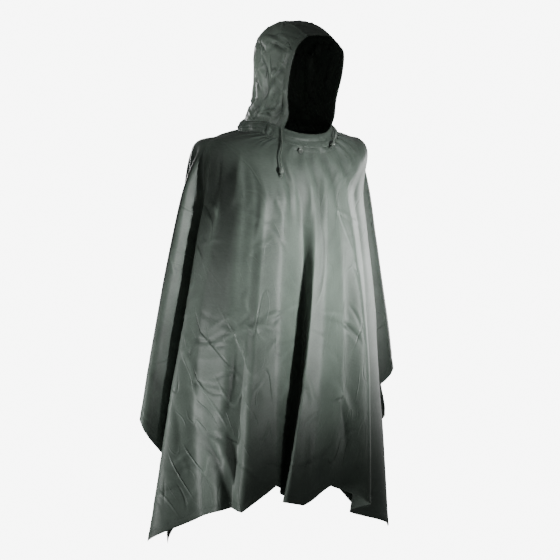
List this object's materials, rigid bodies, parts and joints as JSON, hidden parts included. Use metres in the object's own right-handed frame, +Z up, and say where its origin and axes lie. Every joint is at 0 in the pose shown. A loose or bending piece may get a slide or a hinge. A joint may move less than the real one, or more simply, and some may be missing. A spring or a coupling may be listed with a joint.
{
  "type": "rain poncho",
  "caption": "Hooded rain poncho in coated nylon, hanging in folds as worn, with a gathered neck band, drawcords and a press stud.",
  "frame": {"origin": "centre of the neck opening, at the height of the tops of the wearer's shoulders", "axes": "+Z up, the front faces -Y, the wearer's right is -X"},
  "size_m": [0.8183, 0.4827, 1.3888],
  "materials": {
    "shell_cloth": "grey-green polyurethane-coated nylon taffeta with a soft sheen",
    "cord": "braided polyester cord",
    "lock_plastic": "moulded grey plastic",
    "snap_metal": "worn nickel-plated press stud"
  },
  "bodies": {
    "root": {"body_front": "shell_cloth", "body_back": "shell_cloth", "neck_band": "shell_cloth", "hood_right": "shell_cloth", "hood_left": "shell_cloth", "hood_crown": "shell_cloth", "neck_snap": "snap_metal", "drawcord_right": "cord", "cord_lock_right": "lock_plastic", "drawcord_left": "cord", "cord_lock_left": "lock_plastic"}
  },
  "joints": []
}
